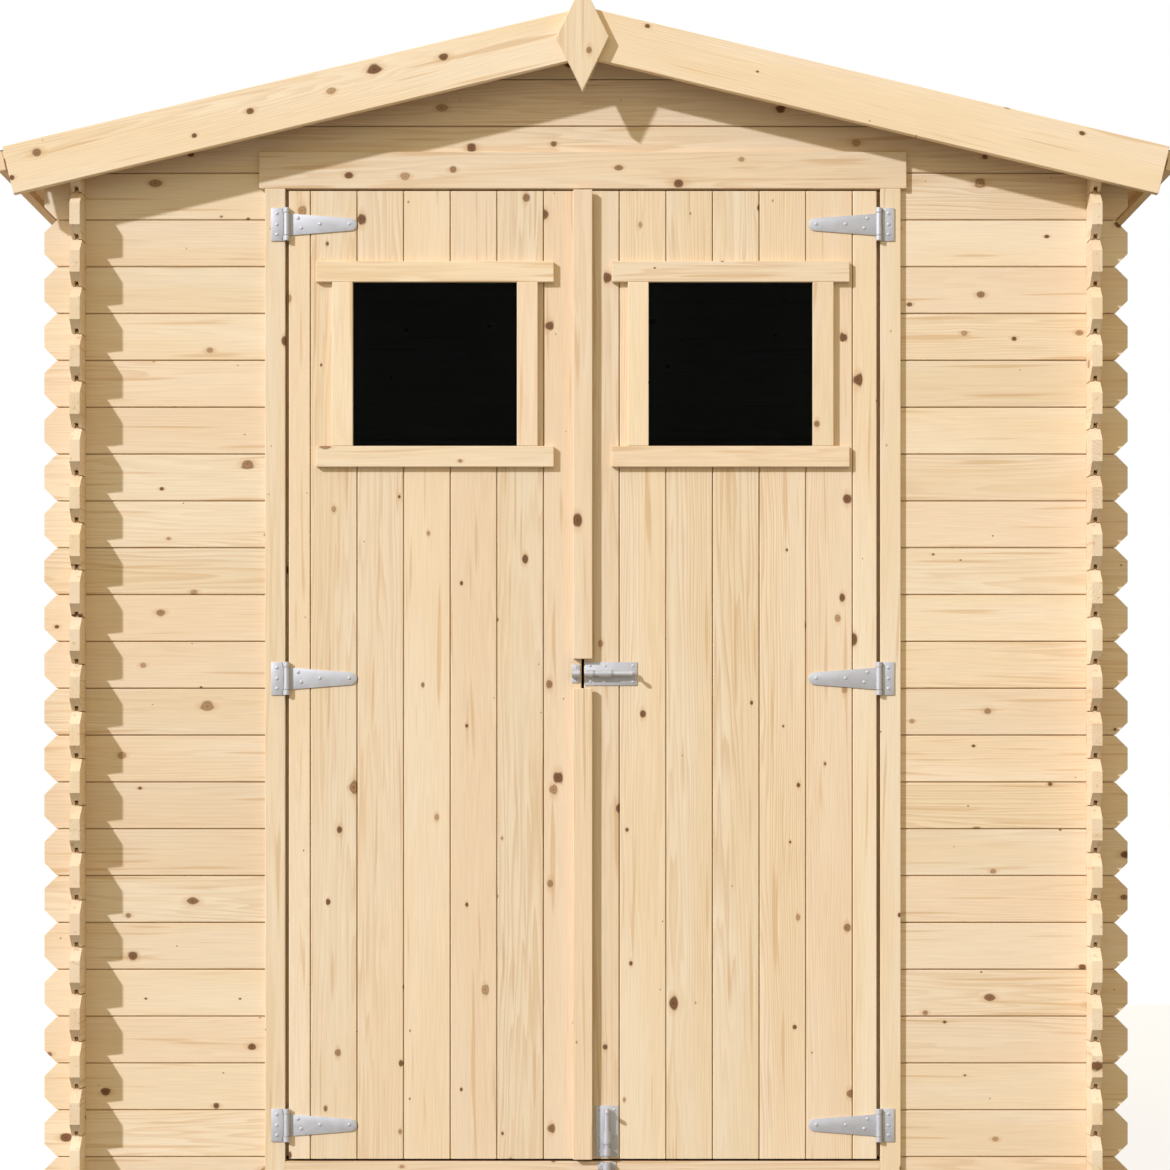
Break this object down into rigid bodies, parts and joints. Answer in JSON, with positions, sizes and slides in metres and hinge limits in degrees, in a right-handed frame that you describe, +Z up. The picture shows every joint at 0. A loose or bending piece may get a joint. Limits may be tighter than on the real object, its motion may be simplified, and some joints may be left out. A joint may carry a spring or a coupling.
{
  "type": "wooden garden shed",
  "caption": "Small garden shed of interlocking planed logs with a low gable roof and a pair of glazed plank doors that swing outwards.",
  "frame": {"origin": "ground level under the middle of the shed", "axes": "+Z up, the doors face -Y, +X to the right of someone who faces the doors"},
  "size_m": [2.1996, 2.099, 2.2671],
  "materials": {
    "log_wood": "planed, untreated",
    "trim_wood": "planed, untreated",
    "door_wood": "planed, untreated",
    "frame_wood": "planed, untreated",
    "board_wood": "planed, untreated",
    "roofing_felt": "mineral grit",
    "window_glass": "clear",
    "zinc_steel": "galvanised"
  },
  "bodies": {
    "root": {"front_bottom_log": "log_wood", "front_wall_left": "log_wood", "front_wall_right": "log_wood", "front_gable": "log_wood", "back_wall": "log_wood", "left_wall": "log_wood", "right_wall": "log_wood", "front_barge_left": "trim_wood", "front_barge_right": "trim_wood", "back_barge_left": "trim_wood", "back_barge_right": "trim_wood", "front_finial": "trim_wood", "back_finial": "trim_wood", "left_eave_board": "trim_wood", "right_eave_board": "trim_wood", "door_header_board": "trim_wood", "door_sill_board": "trim_wood", "left_jamb_board": "trim_wood", "right_jamb_board": "trim_wood", "door_posts": "frame_wood", "door_head": "frame_wood", "purlins": "frame_wood", "floor_joists": "frame_wood", "roof_boards_left": "board_wood", "roof_boards_right": "board_wood", "floor_boards": "board_wood", "roof_felt_left": "roofing_felt", "roof_felt_right": "roofing_felt", "hinge_plates": "zinc_steel", "foot_bolt_keeper": "zinc_steel"},
    "left_leaf": {"left_door_leaf": "door_wood", "left_door_ledges": "door_wood", "left_window_glass": "window_glass", "left_window_boards": "trim_wood", "left_hinge_straps": "zinc_steel", "meeting_batten": "trim_wood", "main_bolt_keeper": "zinc_steel"},
    "right_leaf": {"right_door_leaf": "door_wood", "right_door_ledges": "door_wood", "right_window_glass": "window_glass", "right_window_boards": "trim_wood", "right_hinge_straps": "zinc_steel", "bolt_plates": "zinc_steel"},
    "main_bolt": {"main_bolt_rod": "zinc_steel"},
    "foot_bolt": {"foot_bolt_rod": "zinc_steel"}
  },
  "joints": [
    {"name": "left_leaf_hinge", "type": "hinge", "parent": "root", "child": "left_leaf", "pos_m": [-0.5605, -0.9745, 0.986], "axis": [0, 0, -1], "range_deg": [0, 150]},
    {"name": "right_leaf_hinge", "type": "hinge", "parent": "root", "child": "right_leaf", "pos_m": [0.5485, -0.9745, 0.986], "axis": [0, 0, 1], "range_deg": [0, 150]},
    {"name": "main_bolt_slide", "type": "slide", "parent": "right_leaf", "child": "main_bolt", "axis": [-1, 0, 0], "range_m": [0, 0.028]},
    {"name": "foot_bolt_slide", "type": "slide", "parent": "right_leaf", "child": "foot_bolt", "axis": [0, 0, -1], "range_m": [0, 0.028]}
  ],
  "couplings": [
    {"joint": "right_leaf_hinge", "follows": "left_leaf_hinge", "ratio": 1}
  ]
}
